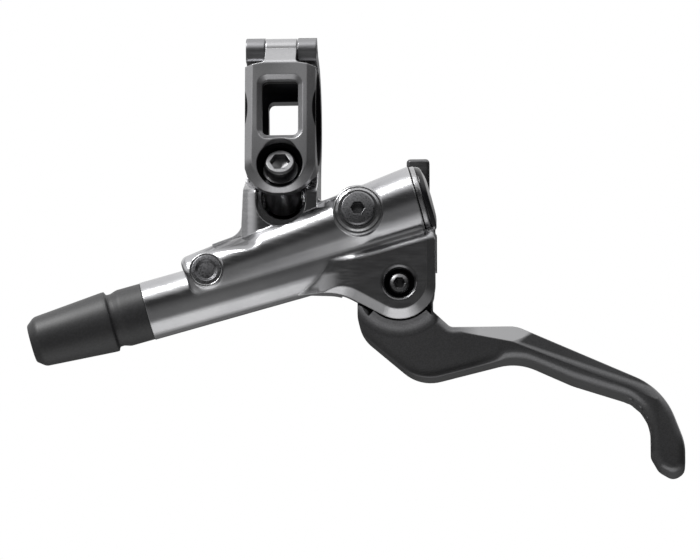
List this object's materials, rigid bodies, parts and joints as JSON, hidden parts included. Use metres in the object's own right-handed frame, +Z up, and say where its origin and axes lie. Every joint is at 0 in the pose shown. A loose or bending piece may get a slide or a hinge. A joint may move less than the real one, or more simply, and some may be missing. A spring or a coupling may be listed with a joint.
{
  "type": "bicycle brake lever",
  "caption": "Hydraulic bicycle brake lever with hinged handlebar clamp, angled master cylinder, round reservoir and short one-finger blade.",
  "frame": {"origin": "centre of the handlebar in the middle of the clamp", "axes": "+X along the handlebar towards the blade's tip, +Y away from the outer side of the lever, +Z up from the cylinder towards the clamp's hinge"},
  "size_m": [0.1541, 0.0285, 0.1047],
  "materials": {
    "body_alloy": "semi-polished grey alloy",
    "band_alloy": "matt grey anodised alloy",
    "ring_alloy": "bright turned alloy",
    "blade_coat": "matt black coat over forged alloy",
    "fastener_black": "black zinc plated steel",
    "gunmetal": "dark plated steel",
    "steel": "turned steel",
    "brass": "turned",
    "boot_rubber": "matt moulded rubber",
    "seal_rubber": "moulded",
    "cap_gloss": "glossy black",
    "piston_resin": "machined resin",
    "bush_resin": "moulded"
  },
  "bodies": {
    "cylinder": {"clamp_hinge_pin": "steel", "master_cylinder_body": "body_alloy", "pivot_axle": "fastener_black", "stop_washer": "steel", "snap_ring": "steel", "return_spring": "steel", "hose_nut": "steel", "hose_olive": "brass", "hose_boot": "boot_rubber", "reservoir_cap": "cap_gloss", "cap_ring": "ring_alloy", "cap_gasket": "seal_rubber", "reservoir_bladder": "seal_rubber", "bleed_screw": "gunmetal", "bleed_o_ring": "seal_rubber", "port_plug": "gunmetal"},
    "lever": {"lever_blade": "blade_coat", "push_pin": "steel", "pivot_bush_near": "bush_resin", "pivot_bush_far": "bush_resin", "reach_screw": "fastener_black"},
    "piston_set": {"piston": "piston_resin", "primary_cup": "seal_rubber", "secondary_cup": "seal_rubber", "push_rod": "steel"},
    "band": {"clamp_band": "band_alloy"},
    "bolt": {"clamp_bolt": "fastener_black", "bolt_washer": "fastener_black"}
  },
  "joints": [
    {"name": "lever_pivot", "type": "hinge", "parent": "cylinder", "child": "lever", "pos_m": [0.02764, 0, -0.0411], "axis": [0, -1, 0], "range_deg": [0, 22], "stiffness_Nm_per_rad": 0.25, "springref_deg": -22.92},
    {"name": "piston_slide", "type": "slide", "parent": "cylinder", "child": "piston_set", "axis": [-0.9636, 0, -0.2672], "range_m": [0, 0.00444], "deforming": ["return_spring"]},
    {"name": "band_hinge", "type": "hinge", "parent": "cylinder", "child": "band", "pos_m": [0, -0.007, 0.015], "axis": [-1, 0, 0], "range_deg": [0, 2.01]},
    {"name": "bolt_slack", "type": "slide", "parent": "cylinder", "child": "bolt", "axis": [0, -0.9135, 0.4067], "range_m": [0, 0.0015]}
  ],
  "couplings": [
    {"joint": "piston_slide", "follows": "lever_pivot", "m_per_rad": 0.011524},
    {"joint": "band_hinge", "follows": "bolt_slack", "rad_per_m": 23.271}
  ]
}
